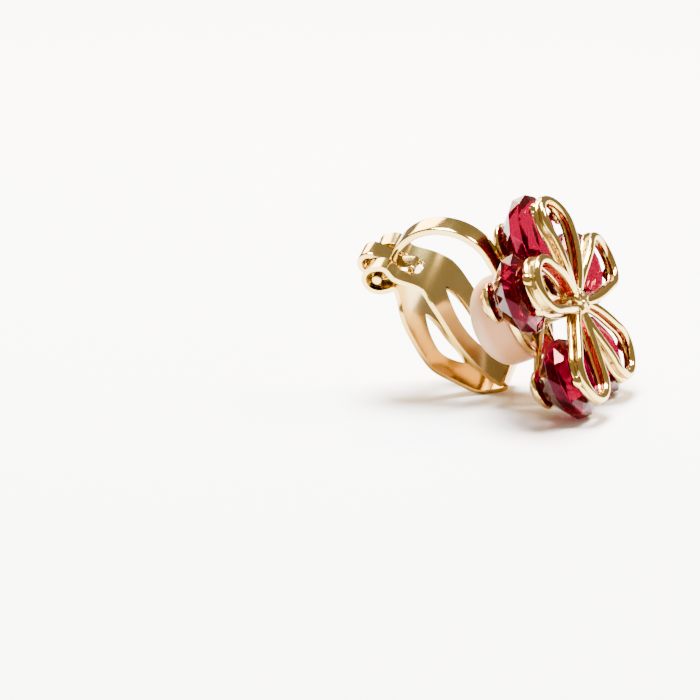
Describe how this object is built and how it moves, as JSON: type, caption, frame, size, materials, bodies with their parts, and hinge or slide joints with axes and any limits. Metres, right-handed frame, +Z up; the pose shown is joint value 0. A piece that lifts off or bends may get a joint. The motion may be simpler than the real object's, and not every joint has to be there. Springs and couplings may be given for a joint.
{
  "type": "clip on earring",
  "caption": "Gold-coloured clip on earring with a flower of wire-loop petals over round red stones, and a sprung paddle with a soft pad",
  "frame": {"origin": "the middle of the object's box, on the surface it stands on", "axes": "z up; the flower faces -y and the clip is at +y; the object rests on two stones and the paddle's rounded end, so the clip is tipped"},
  "size_m": [0.0222, 0.0262, 0.0203],
  "materials": {
    "gold": "polished",
    "red_glass": "polished faceted glass",
    "clear_rubber": "smooth, milky"
  },
  "bodies": {
    "clip": {"frame": "gold", "stone_1": "red_glass", "stone_2": "red_glass", "stone_3": "red_glass", "stone_4": "red_glass", "stone_5": "red_glass", "pad": "clear_rubber"},
    "paddle_body": {"paddle": "gold", "hinge_pin": "gold"}
  },
  "joints": [
    {"name": "paddle_hinge", "type": "hinge", "parent": "clip", "child": "paddle_body", "pos_m": [-0.00349, 0.01046, 0.01292], "axis": [0.9509, 0.1286, 0.2816], "range_deg": [0, 65]}
  ]
}
